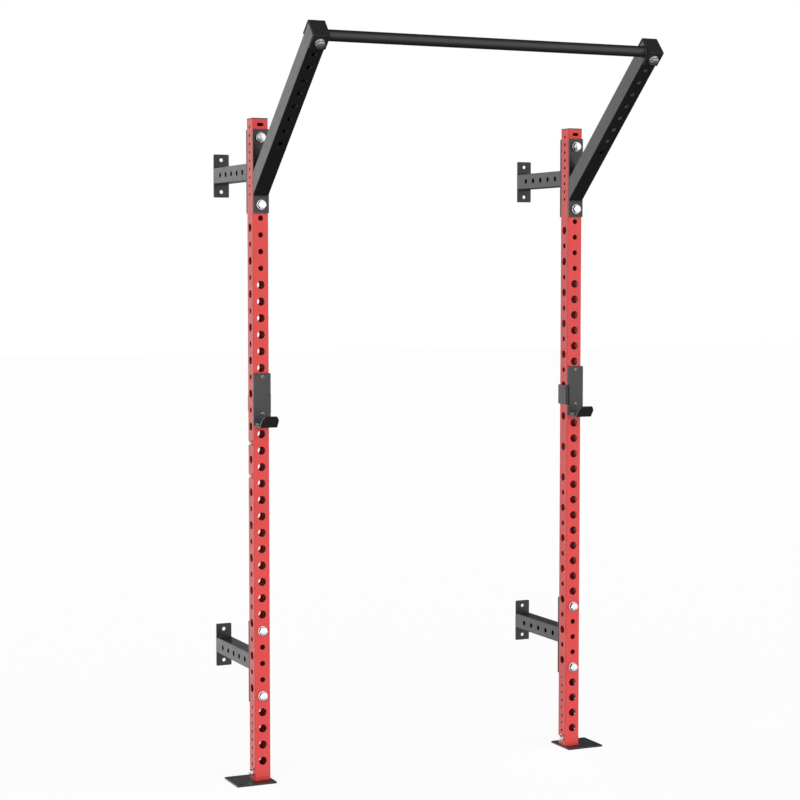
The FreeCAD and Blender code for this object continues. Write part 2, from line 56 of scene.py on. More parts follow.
camera_data = bpy.data.cameras.new("camera")
camera_data.lens = LENS_MM
camera_data.sensor_width = SENSOR_MM
camera = bpy.data.objects.new("camera", camera_data)
camera.location = (EYE_X, EYE_Y, EYE_Z)
camera.rotation_euler = (math.pi / 2 - EYE_DIP, 0.0, -EYE_TURN)
bpy.context.scene.collection.objects.link(camera)
bpy.context.scene.camera = camera

# Uprights: welded square steel tube, laser-cut with its grid of holes, then powder coated red.
# The coat is a satin film with a fine orange peel, worn paler and thinner along corners and hole rims.
MM = 0.001
SIDES = ("left", "right")
RED_COAT = (0.70, 0.046, 0.042)
RED_WORN = (0.80, 0.15, 0.13)
RED_ROUGHNESS = 0.36
RED_PEEL = 0.35
RED_GLOSS = 0.40
DRIFT_PER_METRE = 9.0
CHIPS_PER_METRE = 420.0
PEEL_PER_METRE = 900.0
GRAIN_PER_METRE = 260.0
SMEAR_PER_METRE = 35.0
PEEL_DEPTH = 0.05 * MM
EDGE_ROUND = 0.7 * MM
WEAR_WIDTH = 0.9 * MM
NOISE_LOW = 0.3
NOISE_HIGH = 0.7
DEEP_SHARE = 0.92
CHIP_ONSET = 0.42
CHIP_FULL = 0.62
CHIP_LEAST = 0.15
ROUGH_SWING = 0.05
FLAT_LEAN = 0.995
SHARP_LEAN = 0.90
# Painted shade: the dark red given to the inside of the uprights and down their hole walls.
RED_BORE_PAINTED_SHADE = (0.30, 0.020, 0.020)
RIM_DEPTH = 0.5 * MM
CORNER_SHARE = 1.7


def shader_tree(name):
    """New node material: returns the material, its node tree and its Principled shader."""
    material = bpy.data.materials.new(name)
    material.use_nodes = True
    tree = material.node_tree
    return material, tree, tree.nodes["Principled BSDF"]


def add_node(tree, kind, **values):
    """New node, with numbers or names given for its sockets and its own settings."""
    node = tree.nodes.new(kind)
    for key, value in values.items():
        if key in node.inputs:
            node.inputs[key].default_value = value
        else:
            setattr(node, key, value)
    return node


def noise(tree, scale, detail, rough=0.5):
    """Noise on the piece's own coordinates, at so many bumps per metre."""
    place = add_node(tree, "ShaderNodeTexCoord")
    texture = add_node(tree, "ShaderNodeTexNoise", Scale=scale, Detail=detail, Roughness=rough)
    tree.links.new(place.outputs["Object"], texture.inputs["Vector"])
    return texture.outputs["Fac"]


def spread(tree, source, low, high, out_low, out_high, curve="LINEAR"):
    """The source's range from low to high, stretched over another range and held at its ends."""
    node = add_node(tree, "ShaderNodeMapRange", interpolation_type=curve)
    node.inputs["From Min"].default_value = low
    node.inputs["From Max"].default_value = high
    node.inputs["To Min"].default_value = out_low
    node.inputs["To Max"].default_value = out_high
    tree.links.new(source, node.inputs["Value"])
    return node.outputs["Result"]


def colour_mix(tree, factor, first, second):
    """Mix of two colours, each a fixed colour or another node's output."""
    node = add_node(tree, "ShaderNodeMix", data_type="RGBA")
    tree.links.new(factor, node.inputs["Factor"])
    for socket, value in ((node.inputs[6], first), (node.inputs[7], second)):
        if isinstance(value, tuple):
            socket.default_value = (*value, 1.0)
        else:
            tree.links.new(value, socket)
    return node.outputs[2]


def combine(tree, operation, first, second):
    """Sum, product or other result of two node outputs."""
    node = add_node(tree, "ShaderNodeMath", operation=operation)
    tree.links.new(first, node.inputs[0])
    tree.links.new(second, node.inputs[1])
    return node.outputs[0]


def magnitude(tree, source):
    """The source without its sign."""
    node = add_node(tree, "ShaderNodeMath", operation="ABSOLUTE")
    tree.links.new(source, node.inputs[0])
    return node.outputs[0]


def minus(tree, source, amount):
    """The source less a fixed amount."""
    node = add_node(tree, "ShaderNodeMath", operation="SUBTRACT")
    node.inputs[1].default_value = amount
    tree.links.new(source, node.inputs[0])
    return node.outputs[0]


def below(tree, source, limit):
    """1 where the source is under a limit, and 0 elsewhere."""
    node = add_node(tree, "ShaderNodeMath", operation="LESS_THAN")
    node.inputs[1].default_value = limit
    tree.links.new(source, node.inputs[0])
    return node.outputs[0]


def edge_mask(tree, radius):
    """1 on sharp edges and 0 on flats: how far the rounded normal leans from the plain one."""
    rounded = add_node(tree, "ShaderNodeBevel", samples=4, Radius=radius)
    plain = add_node(tree, "ShaderNodeNewGeometry")
    lean = add_node(tree, "ShaderNodeVectorMath", operation="DOT_PRODUCT")
    tree.links.new(rounded.outputs["Normal"], lean.inputs[0])
    tree.links.new(plain.outputs["Normal"], lean.inputs[1])
    return spread(tree, lean.outputs["Value"], FLAT_LEAN, SHARP_LEAN, 0.0, 1.0)


def powder_coat(name, coat, worn_coat, roughness, peel, gloss):
    """Powder coat: a colour that drifts slightly, chipped pale edges, smears of gloss and an orange peel."""
    material, tree, shader = shader_tree(name)
    drift = spread(tree, noise(tree, DRIFT_PER_METRE, 4.0), NOISE_LOW, NOISE_HIGH, 0.0, 1.0)
    deep = tuple(channel * DEEP_SHARE for channel in coat)
    body = colour_mix(tree, drift, coat, deep)
    flakes = noise(tree, CHIPS_PER_METRE, 3.0, 0.7)
    chips = spread(tree, flakes, CHIP_ONSET, CHIP_FULL, CHIP_LEAST, 1.0)
    worn = combine(tree, "MULTIPLY", edge_mask(tree, WEAR_WIDTH), chips)
    tree.links.new(colour_mix(tree, worn, body, worn_coat), shader.inputs["Base Color"])
    smear = noise(tree, SMEAR_PER_METRE, 3.0)
    least = roughness - ROUGH_SWING
    rough = spread(tree, smear, NOISE_LOW, NOISE_HIGH, least, roughness + ROUGH_SWING)
    tree.links.new(rough, shader.inputs["Roughness"])
    fine = noise(tree, PEEL_PER_METRE, 2.0)
    coarse = noise(tree, GRAIN_PER_METRE, 2.0)
    skin = combine(tree, "ADD", fine, coarse)
    rounded = add_node(tree, "ShaderNodeBevel", samples=4, Radius=EDGE_ROUND)
    bump = add_node(tree, "ShaderNodeBump", Strength=peel, Distance=PEEL_DEPTH)
    tree.links.new(rounded.outputs["Normal"], bump.inputs["Normal"])
    tree.links.new(skin, bump.inputs["Height"])
    tree.links.new(bump.outputs["Normal"], shader.inputs["Normal"])
    shader.inputs["Specular IOR Level"].default_value = gloss
    return material


def dress(material, *names):
    """Puts one material on every face of the named CAD nodes."""
    for name in names:
        mesh = nodes[name].data
        mesh.materials.clear()
        mesh.materials.append(material)


def paint_bore_shade(material, folds, half_side, shade):
    """Painted shade inside tubes and down their hole walls: there the colour falls to a dark shade.
    Each fold names an axis, a middle, and how far to either side of it the tubes' middle planes lie.
    The mask is 1 where the greater of the distances from two such planes is under a half side, and
    where their sum is small enough to miss the rounded corners."""
    tree = material.node_tree
    shader = tree.nodes["Principled BSDF"]
    place = add_node(tree, "ShaderNodeTexCoord")
    parts = add_node(tree, "ShaderNodeSeparateXYZ")
    tree.links.new(place.outputs["Object"], parts.inputs[0])
    away = []
    for axis, middle, reach in folds:
        from_middle = magnitude(tree, minus(tree, parts.outputs[axis], middle))
        away.append(magnitude(tree, minus(tree, from_middle, reach)))
    in_square = below(tree, combine(tree, "MAXIMUM", *away), half_side)
    off_corner = below(tree, combine(tree, "ADD", *away), half_side * CORNER_SHARE)
    inside = combine(tree, "MULTIPLY", in_square, off_corner)
    outer_colour = shader.inputs["Base Color"].links[0].from_socket
    tree.links.new(colour_mix(tree, inside, outer_colour, shade), shader.inputs["Base Color"])


red_coat = powder_coat("red_powder_coat", RED_COAT, RED_WORN, RED_ROUGHNESS, RED_PEEL, RED_GLOSS)
post_low, post_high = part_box("upright_right")
post_x = (post_low[0] + post_high[0]) / 2
bore_half = (post_high[0] - post_low[0]) / 2 - RIM_DEPTH
# Painted shade inside the uprights and down their hole walls.
paint_bore_shade(red_coat, (("X", 0.0, post_x), ("Y", 0.0, 0.0)), bore_half, RED_BORE_PAINTED_SHADE)
for side in SIDES:
    dress(red_coat, "upright_" + side)

# Caps: moulded black plastic with a fine matt grain, pushed into the top of each upright.
CAP_BLACK = (0.018, 0.018, 0.019)
CAP_SCUFF = (0.06, 0.06, 0.06)
CAP_ROUGHNESS = 0.50
CAP_GRAIN = 0.8
CAP_GLOSS = 0.5
black_plastic = powder_coat("black_plastic", CAP_BLACK, CAP_SCUFF, CAP_ROUGHNESS, CAP_GRAIN, CAP_GLOSS)
for side in SIDES:
    dress(black_plastic, "upright_cap_" + side)

# Foot plates, wall arms, plates and pull-up arms: cut and welded mild steel, powder coated satin black.
# The same coat covers the whole frame; its corners are rubbed a little grey.
LEVELS = ("lower", "upper")
BLACK_COAT = (0.0105, 0.0105, 0.011)
BLACK_WORN = (0.07, 0.07, 0.073)
BLACK_ROUGHNESS = 0.30
BLACK_PEEL = 0.7
BLACK_GLOSS = 0.55
BLACK_SKIN = (BLACK_COAT, BLACK_WORN, BLACK_ROUGHNESS, BLACK_PEEL)
black_coat = powder_coat("black_powder_coat", *BLACK_SKIN, BLACK_GLOSS)
PLATE_GLOSS = 0.42
plate_coat = powder_coat("plate_coat", *BLACK_SKIN, PLATE_GLOSS)
for side in SIDES:
    dress(black_coat, "foot_stub_" + side, "pull_up_arm_" + side, "arm_bracket_plate_" + side)
    dress(plate_coat, "foot_plate_" + side)
    for level in LEVELS:
        dress(black_coat, f"joint_plate_{level}_{side}")
        dress(plate_coat, f"wall_plate_{level}_{side}")

# Wall arms: square tube, holed through both sides, in the same satin black coat.
# Inside the tube and down its hole walls the colour is a painted shade, near black, so the holes look plain
# black.
ARM_BORE_PAINTED_SHADE = (0.002, 0.002, 0.002)
arm_coat = powder_coat("wall_arm_coat", *BLACK_SKIN, BLACK_GLOSS)
lower_low, lower_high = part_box("wall_arm_lower_right")
upper_low, upper_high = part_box("wall_arm_upper_right")
arm_half = (lower_high[0] - lower_low[0]) / 2 - RIM_DEPTH
arm_x = (lower_low[0] + lower_high[0]) / 2
lower_z = (lower_low[2] + lower_high[2]) / 2
upper_z = (upper_low[2] + upper_high[2]) / 2
arm_folds = (("X", 0.0, arm_x), ("Z", (lower_z + upper_z) / 2, (upper_z - lower_z) / 2))
# The wall arms' insides and hole walls take the painted shade.
paint_bore_shade(arm_coat, arm_folds, arm_half, ARM_BORE_PAINTED_SHADE)
for side in SIDES:
    for level in LEVELS:
        dress(arm_coat, f"wall_arm_{level}_{side}")

# Straps: 5 mm flat bar bent into a U over the end of each pull-up arm, and bolted through.
# They are coated apart from the arms, in a drier and more matt black that hides their cut edges.
STRAP_BLACK = (0.020, 0.020, 0.0205)
STRAP_WORN = (0.05, 0.05, 0.052)
STRAP_ROUGHNESS = 0.52
STRAP_PEEL = 1.0
STRAP_GLOSS = 0.12
strap_coat = powder_coat("strap_coat", STRAP_BLACK, STRAP_WORN, STRAP_ROUGHNESS, STRAP_PEEL, STRAP_GLOSS)
for side in SIDES:
    dress(strap_coat, "bar_strap_" + side)

# Weld beads: one pass of MIG weld across the top and bottom of each tube where it meets its plate.
# Each bead is a rounded fillet with the ripples of the weld pool, under the same black coat.
BEAD_LEG = 3.2 * MM
BEAD_INSET = 4.5 * MM
RIPPLE_PITCH = 2.2 * MM
RIPPLE_SHARE = 0.10
STEPS_PER_RIPPLE = 5
BEAD_SECTION_STEPS = 8
CREASE_ANGLE = math.radians(32.0)
X_AXIS = np.array([1.0, 0.0, 0.0])
Y_AXIS = np.array([0.0, 1.0, 0.0])
Z_AXIS = np.array([0.0, 0.0, 1.0])


def grid_faces(rows, columns, closed):
    """Quads of a grid of rows by columns; the columns join up into a ring when closed."""
    last = columns if closed else columns - 1
    i, j = np.meshgrid(np.arange(rows - 1), np.arange(last), indexing="ij")
    k = (j + 1) % columns
    row = i * columns
    next_row = row + columns
    return np.stack([row + j, row + k, next_row + k, next_row + j], axis=-1).reshape(-1, 4)


def make_piece(name, points, faces, material, body):
    """New smooth-shaded object with creased corners, riding on a body, from points and faces."""
    mesh = bpy.data.meshes.new(name)
    mesh.from_pydata(points.tolist(), [], faces)
    mesh.validate()
    mesh.shade_smooth()
    mesh.set_sharp_from_angle(angle=CREASE_ANGLE)
    mesh.materials.append(material)
    piece = bpy.data.objects.new(name, mesh)
    bpy.context.scene.collection.objects.link(piece)
    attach(piece, body)
    return piece


def bead(line, out, up, leg):
    """Fillet carried along a line of points: a section from the root out along one plate and up the other.
    The outer arc bulges as leg times (cos t, sin t) for t from 0 to 90 degrees, rippled along the line,
    and the section closes at the root, so that the bead is a tube with capped ends."""
    lengths = np.linalg.norm(np.diff(line, axis=0), axis=1)
    run = np.concatenate([[0.0], np.cumsum(lengths)])
    size = leg * (1 + RIPPLE_SHARE * np.abs(np.sin(math.pi * run / RIPPLE_PITCH)))
    turn = np.linspace(0, math.pi / 2, BEAD_SECTION_STEPS)
    arc = np.cos(turn)[None, :, None] * out[:, None, :] + np.sin(turn)[None, :, None] * up[:, None, :]
    ring = line[:, None, :] + size[:, None, None] * arc
    return np.concatenate([ring, line[:, None, :]], axis=1)


def bead_surface(rings, whole_loop):
    """Points and faces of a bead's rings; an open bead gets a flat cap at both ends."""
    rows, columns = rings.shape[:2]
    points = rings.reshape(-1, 3)
    faces = grid_faces(rows, columns, True)[:, ::-1].tolist()
    if whole_loop:
        seam = np.arange(columns)
        last = (rows - 1) * columns
        after = (seam + 1) % columns
        faces += np.stack([last + seam, seam, after, last + after], axis=-1)[:, ::-1].tolist()
    else:
        faces.append(np.arange(columns).tolist())
        faces.append((points.shape[0] - 1 - np.arange(columns)).tolist())
    return points, faces


def straight_bead(name, start, end, out, up):
    """Bead along a straight root line, outward along one face and up the other."""
    steps = int(STEPS_PER_RIPPLE * np.linalg.norm(end - start) / RIPPLE_PITCH)
    share = np.linspace(0, 1, steps)[:, None]
    line = start + share * (end - start)
    sides = np.broadcast_to(out, line.shape), np.broadcast_to(up, line.shape)
    points, faces = bead_surface(bead(line, *sides, BEAD_LEG), False)
    piece = make_piece(name, points, faces, black_coat, "rack")
    right_way_out(piece.data)


def right_way_out(mesh):
    """Turns every face of a closed mesh outwards."""
    shape = bmesh.new()
    shape.from_mesh(mesh)
    bmesh.ops.recalc_face_normals(shape, faces=shape.faces)
    shape.to_mesh(mesh)
    shape.free()


for side in SIDES:
    for level in LEVELS:
        tube_low, tube_high = (np.array(corner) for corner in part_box(f"wall_arm_{level}_{side}"))
        left_x = tube_low[0] + BEAD_INSET
        right_x = tube_high[0] - BEAD_INSET
        for end_name, root_y, along in (("post", tube_low[1], Y_AXIS), ("wall", tube_high[1], -Y_AXIS)):
            for edge_name, root_z, up in (("top", tube_high[2], Z_AXIS), ("under", tube_low[2], -Z_AXIS)):
                start = np.array([left_x, root_y, root_z])
                end = np.array([right_x, root_y, root_z])
                straight_bead(f"weld_{level}_{side}_{end_name}_{edge_name}", start, end, along, up)

# Welds at the foot of the pull-up arms: the tube is mitred and stands on its bracket plate.
# Its lower bead sits in the tight corner under the arm, its upper one in the wide corner above.
FOOT_SLACK = 0.1 * MM
for side in SIDES:
    plate_low, plate_high = (np.array(corner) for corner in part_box("arm_bracket_plate_" + side))
    arm_mesh = nodes["pull_up_arm_" + side].data
    arm_points = np.empty(len(arm_mesh.vertices) * 3)
    arm_mesh.vertices.foreach_get("co", arm_points)
    arm_points = arm_points.reshape(-1, 3)
    foot = arm_points[arm_points[:, 1] > plate_low[1] - FOOT_SLACK]
    left_x = plate_low[0] + BEAD_INSET
    right_x = plate_high[0] - BEAD_INSET
    for edge_name, root_z, up in (("top", foot[:, 2].max(), Z_AXIS), ("under", foot[:, 2].min(), -Z_AXIS)):
        start = np.array([left_x, plate_low[1], root_z])
        end = np.array([right_x, plate_low[1], root_z])
        straight_bead(f"weld_arm_{side}_{edge_name}", start, end, -Y_AXIS, up)

# Pull-up bar: round steel tube in the black coat, with the grip left smooth.
# It butts against the inner face of each arm and is welded all round.
BAR_RING_STEPS = 150
BAR_BLACK = (0.013, 0.013, 0.0135)
BAR_ROUGHNESS = 0.34
BAR_PEEL = 0.9
BAR_GLOSS = 0.5
bar_coat = powder_coat("bar_powder_coat", BAR_BLACK, BLACK_WORN, BAR_ROUGHNESS, BAR_PEEL, BAR_GLOSS)
dress(bar_coat, "pull_up_bar")
bar_low, bar_high = (np.array(corner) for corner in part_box("pull_up_bar"))
bar_middle = (bar_low + bar_high) / 2
bar_radius = (bar_high[2] - bar_low[2]) / 2
ring_turn = np.linspace(0, 2 * math.pi, BAR_RING_STEPS, endpoint=False)
ring_out = np.cos(ring_turn)[:, None] * Y_AXIS + np.sin(ring_turn)[:, None] * Z_AXIS
for side, end_x, along in (("left", bar_low[0], X_AXIS), ("right", bar_high[0], -X_AXIS)):
    ring_line = np.array([end_x, bar_middle[1], bar_middle[2]]) + bar_radius * ring_out
    ring_along = np.broadcast_to(along, ring_line.shape)
    points, faces = bead_surface(bead(ring_line, ring_out, ring_along, BEAD_LEG), True)
    ring_bead = make_piece("weld_bar_" + side, points, faces, bar_coat, "rack")
    right_way_out(ring_bead.data)

# Bolts, nuts and washers: zinc-plated steel hexagon fasteners, cold headed, with rolled threads.
# Long M16 bolts hold the plates and straps, M12 the feet, and short M8 ones sit in the side holes.
ZINC = (0.80, 0.81, 0.82)
ZINC_SHADOW = (0.70, 0.71, 0.73)
ZINC_SMOOTH = 0.30
ZINC_ROUGH = 0.42
# Painted shade: near-black zinc for the flanks of bolt heads, in random blotches.
FLANK_PAINTED_SHADE = (0.06, 0.06, 0.062)
FLANK_SHADOW = (0.035, 0.035, 0.036)
FLANK_SMOOTH = 0.26
FLANK_ROUGH = 0.42
BLOTCH_LOW = 0.35
M16_RADIUS = 8.0 * MM
M12_RADIUS = 6.0 * MM
M8_RADIUS = 4.0 * MM
M16_PITCH = 2.0 * MM
M12_PITCH = 1.75 * MM
M8_PITCH = 1.25 * MM
HEAD_SHARE = 0.625
THREAD_LENGTH = 22.0 * MM
THREAD_DEPTH_SHARE = 0.55
THREAD_STEPS = 6
POINT_SLOPE = 0.8
WASHER_FACE = 0.4 * MM
NUT_FLARE_SHARE = 1.12
NUT_BORE_SHARE = 1.03
NUT_SINK_SHARE = 0.12
WASHER_BORE_SHARE = 1.06
WASHER_SOFT_SHARE = 0.25
SOFT_RISE = 0.4
SOFT_FALL = 0.2
M16_BOLT_REACH = 130 * MM
M16_RING_REACH = 32 * MM
M12_BOLT_REACH = 60 * MM
M12_RING_REACH = 28 * MM
M8_REACH = 40 * MM
ROUND_STEPS = 60
FACE_CIRCLE_SHARE = 0.91
FLANK_LEAN = 0.75
CHAMFER_SLOPE = 1.9
CHAMFER_STEPS = np.array([0.0, 0.05, 0.12, 0.22, 0.34, 0.5])

zinc, zinc_tree, zinc_shader = shader_tree("zinc_plate")
zinc_shader.inputs["Metallic"].default_value = 1.0
blotch = spread(zinc_tree, noise(zinc_tree, 90.0, 4.0, 0.6), BLOTCH_LOW, NOISE_HIGH, 0.0, 1.0)
zinc_tree.links.new(colour_mix(zinc_tree, blotch, ZINC, ZINC_SHADOW), zinc_shader.inputs["Base Color"])
zinc_haze = noise(zinc_tree, 500.0, 3.0)
zinc_rough = spread(zinc_tree, zinc_haze, NOISE_LOW, NOISE_HIGH, ZINC_SMOOTH, ZINC_ROUGH)
zinc_tree.links.new(zinc_rough, zinc_shader.inputs["Roughness"])
zinc_bump = add_node(zinc_tree, "ShaderNodeBump", Strength=0.25, Distance=0.03 * MM)
zinc_tree.links.new(noise(zinc_tree, 1500.0, 2.0), zinc_bump.inputs["Height"])
zinc_tree.links.new(zinc_bump.outputs["Normal"], zinc_shader.inputs["Normal"])

# Painted shade on bolt-head flanks: a metal in near-black zinc.
flank, flank_tree, flank_shader = shader_tree("zinc_flank_painted_shade")
flank_shader.inputs["Metallic"].default_value = 1.0
flank_spots = noise(flank_tree, 160.0, 4.0, 0.6)
flank_shade_blotch = spread(flank_tree, flank_spots, BLOTCH_LOW, NOISE_HIGH, 0.0, 1.0)
flank_shade_colour = colour_mix(flank_tree, flank_shade_blotch, FLANK_PAINTED_SHADE, FLANK_SHADOW)
flank_tree.links.new(flank_shade_colour, flank_shader.inputs["Base Color"])
flank_haze = noise(flank_tree, 500.0, 3.0)
flank_rough = spread(flank_tree, flank_haze, NOISE_LOW, NOISE_HIGH, FLANK_SMOOTH, FLANK_ROUGH)
flank_tree.links.new(flank_rough, flank_shader.inputs["Roughness"])


def paint_flank_shade(piece, axis):
    """Gives the drawn flanks and chamfers of bolt heads, whose faces lean off the axis, a painted shade:
    near-black zinc.
    """
    mesh = piece.data
    mesh.materials.append(flank)
    normals = np.empty(len(mesh.polygons) * 3)
    mesh.polygons.foreach_get("normal", normals)
    along = np.abs(normals.reshape(-1, 3) @ axis)
    mesh.polygons.foreach_set("material_index", (along < FLANK_LEAN).astype(np.int32))


def clusters(name, reach):
    """The separate fasteners of one CAD node: each one's points, those within reach of its first."""
    mesh = nodes[name].data
    points = np.empty(len(mesh.vertices) * 3)
    mesh.vertices.foreach_get("co", points)
    points = points.reshape(-1, 3)
    found = []
    while len(points):
        near = np.linalg.norm(points - points[0], axis=1) < reach
        found.append(points[near])
        points = points[~near]
    return found


def seat(points, axis):
    """Where a fastener stands: its lowest point on its own axis, its length and its outer radius."""
    middle = (points.min(axis=0) + points.max(axis=0)) / 2
    run = (points - middle) @ axis
    away = np.linalg.norm((points - middle) - run[:, None] * axis, axis=1)
    flat = points - (points @ axis)[:, None] * axis
    centre = (flat.min(axis=0) + flat.max(axis=0)) / 2
    centre = centre - axis * (centre @ axis)
    start = (points @ axis).min()
    return centre + axis * start, run.max() - run.min(), away.max()


def hexagon(turn, across_flats):
    """Distance from the middle to a hexagon's side at each angle: half the flats over a cosine."""
    sixth = math.pi / 3
    return across_flats / 2 / np.cos((turn + sixth / 2) % sixth - sixth / 2)


def turned(base, axis, heights, radii):
    """Rings of points round an axis, at each height and with a radius for each angle."""
    side_dir = np.cross(axis, X_AXIS if abs(axis[0]) < 0.5 else Z_AXIS)
    side_dir = side_dir / np.linalg.norm(side_dir)
    third = np.cross(axis, side_dir)
    turn = np.linspace(0, 2 * math.pi, radii.shape[1], endpoint=False)
    spoke = np.cos(turn)[:, None] * side_dir + np.sin(turn)[:, None] * third
    return base + heights[:, :, None] * axis + radii[:, :, None] * spoke[None, :, :]


def pole_faces(count):
    """Fans that close the first and the last of the rings at two poles, the last two points."""
    near = np.arange(ROUND_STEPS)
    after = (near + 1) % ROUND_STEPS
    first = np.stack([np.full_like(near, count), after, near], axis=-1)
    far = count - ROUND_STEPS
    last = np.stack([np.full_like(near, count + 1), far + near, far + after], axis=-1)
    return first.tolist() + last.tolist()


def hex_bolt(base, axis, length, corner, shank, pitch):
    """Hexagon bolt, head first: the head's radius is the lesser of a hexagon and a cone that rises
    from its face circle, then comes a washer face, a plain shank, and a thread whose radius dips as
    a triangle wave of height less turn, so that its groove is a helix. Both ends close at a pole."""
    turn = np.linspace(0, 2 * math.pi, ROUND_STEPS, endpoint=False)[None, :]
    across = corner * math.sqrt(3)
    head = 2 * shank * HEAD_SHARE
    circle = across / 2 * FACE_CIRCLE_SHARE
    rise = (CHAMFER_STEPS * (corner - circle))[:, None]
    top = np.minimum(hexagon(turn, across), circle + CHAMFER_SLOPE * rise)
    thread_start = max(length - THREAD_LENGTH, head + shank / 4)
    steps = int((length - thread_start) / pitch * THREAD_STEPS)
    climb = np.linspace(thread_start, length, steps)[:, None]
    phase = (climb / pitch - turn / (2 * math.pi)) % 1.0
    depth = THREAD_DEPTH_SHARE * pitch * np.abs(2 * phase - 1)
    fade = np.minimum(1.0, (climb - thread_start) / pitch)
    point = np.minimum(0.0, length - climb - pitch) * POINT_SLOPE
    thread = shank - depth * fade + point
    side_radius = hexagon(turn, across)
    collar = head - WASHER_FACE
    rows = [
        (rise, top),
        (np.array([[collar]]), side_radius),
        (np.array([[collar]]), np.full_like(turn, circle)),
        (np.array([[head]]), np.full_like(turn, circle)),
        (np.array([[head]]), np.full_like(turn, shank)),
        (climb, thread),
    ]
    heights = np.concatenate([np.broadcast_to(h, r.shape) for h, r in rows])
    radii = np.concatenate([r for h, r in rows])
    rings = turned(base, axis, heights, radii)
    count = rings.shape[0] * ROUND_STEPS
    points = np.concatenate([rings.reshape(-1, 3), [base, base + axis * length]])
    faces = grid_faces(rings.shape[0], ROUND_STEPS, True).tolist()
    return points, faces + pole_faces(count)


def ring_part(base, axis, profile_heights, profile_radii):
    """Ring swept round an axis from a closed profile, the last row joined to the first."""
    rings = turned(base, axis, profile_heights, profile_radii)
    rows = rings.shape[0]
    rings = np.concatenate([rings, rings[:1]])
    faces = grid_faces(rows + 1, ROUND_STEPS, True) % (rows * ROUND_STEPS)
    return rings[:rows].reshape(-1, 3), faces.tolist()


def hex_nut(base, axis, length, corner, shank):
    """Hexagon nut: up the outside, chamfered by a cone at both faces, and down a countersunk bore."""
    turn = np.linspace(0, 2 * math.pi, ROUND_STEPS, endpoint=False)[None, :]
    across = corner * math.sqrt(3)
    circle = across / 2 * FACE_CIRCLE_SHARE
    rise = (CHAMFER_STEPS * (corner - circle))[:, None]
    side = np.minimum(hexagon(turn, across), circle + CHAMFER_SLOPE * rise)
    flare = shank * NUT_FLARE_SHARE
    bore = shank * NUT_BORE_SHARE
    sink = shank * NUT_SINK_SHARE
    inner = np.array([[length, flare], [length - sink, bore], [sink, bore], [0.0, flare]])
    heights = np.concatenate([rise, length - rise[::-1], inner[:, :1]])
    radii = np.concatenate([side, side[::-1], np.broadcast_to(inner[:, 1:], (4, ROUND_STEPS))])
    return ring_part(base, axis, np.broadcast_to(heights, radii.shape), radii)


def flat_washer(base, axis, length, outer, shank):
    """Flat washer, stamped: its outer corners are rounded and its bore has a small burr break."""
    soft = length * WASHER_SOFT_SHARE
    bore = shank * WASHER_BORE_SHARE
    profile = np.array([
        [0.0, outer - soft],
        [soft * SOFT_RISE, outer - soft * SOFT_FALL],
        [soft, outer],
        [length - soft, outer],
        [length - soft * SOFT_RISE, outer - soft * SOFT_FALL],
        [length, outer - soft],
        [length, bore + soft],
        [length - soft, bore],
        [soft, bore],
        [0.0, bore + soft],
    ])
    radii = np.broadcast_to(profile[:, 1:], (len(profile), ROUND_STEPS))
    return ring_part(base, axis, np.broadcast_to(profile[:, :1], radii.shape), radii)


def fasteners(node, kind, axis, reach, material, slot, body, *sizes):
    """One detailed piece that stands for all the like fasteners of a CAD node."""
    all_points = []
    all_faces = []
    count = 0
    for cluster in clusters(node, reach):
        middle = (cluster.min(axis=0) + cluster.max(axis=0)) / 2
        own_axis = axis(middle) if callable(axis) else axis
        base, length, outer = seat(cluster, own_axis)
        points, faces = kind(base, own_axis, length, outer, *sizes)
        all_faces += [[corner + count for corner in face] for face in faces]
        all_points.append(points)
        count += len(points)
    piece = make_piece(node + "_detail", np.concatenate(all_points), all_faces, material, body)
    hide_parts(node)
    return piece


def inward(middle):
    """Axis of a side fastener: from the outside of the rack towards its middle."""
    return X_AXIS * (1.0 if middle[0] < 0 else -1.0)


first_bolt = clusters("strap_bolts", M16_BOLT_REACH)[0]
spine = first_bolt - first_bolt.mean(axis=0)
strap_axis = np.linalg.svd(spine, full_matrices=False)[2][0]
strap_axis = strap_axis * np.sign(strap_axis[1])

ZINC_SET = (zinc, "zinc_plate", "rack")
M16_THREAD = (M16_RADIUS, M16_PITCH)
joint_bolts = fasteners("joint_bolts", hex_bolt, Y_AXIS, M16_BOLT_REACH, *ZINC_SET, *M16_THREAD)
# The joint bolts' head flanks take the painted shade.
paint_flank_shade(joint_bolts, Y_AXIS)
fasteners("joint_bolt_washers", flat_washer, Y_AXIS, M16_RING_REACH, *ZINC_SET, M16_RADIUS)
fasteners("joint_bolt_nuts", hex_nut, Y_AXIS, M16_RING_REACH, *ZINC_SET, M16_RADIUS)
fasteners("strap_bolts", hex_bolt, strap_axis, M16_BOLT_REACH, *ZINC_SET, *M16_THREAD)
fasteners("strap_bolt_washers", flat_washer, strap_axis, M16_RING_REACH, *ZINC_SET, M16_RADIUS)
fasteners("strap_bolt_nuts", hex_nut, strap_axis, M16_RING_REACH, *ZINC_SET, M16_RADIUS)
fasteners("accessory_bolts", hex_bolt, inward, M8_REACH, *ZINC_SET, M8_RADIUS, M8_PITCH)
fasteners("accessory_bolt_washers", flat_washer, inward, M8_REACH, *ZINC_SET, M8_RADIUS)
fasteners("foot_bolts", hex_bolt, X_AXIS, M12_BOLT_REACH, *ZINC_SET, M12_RADIUS, M12_PITCH)
fasteners("foot_bolt_washers", flat_washer, X_AXIS, M12_RING_REACH, *ZINC_SET, M12_RADIUS)
fasteners("foot_bolt_nuts", hex_nut, X_AXIS, M12_RING_REACH, *ZINC_SET, M12_RADIUS)
dress(zinc, "accessory_rivet_nuts")

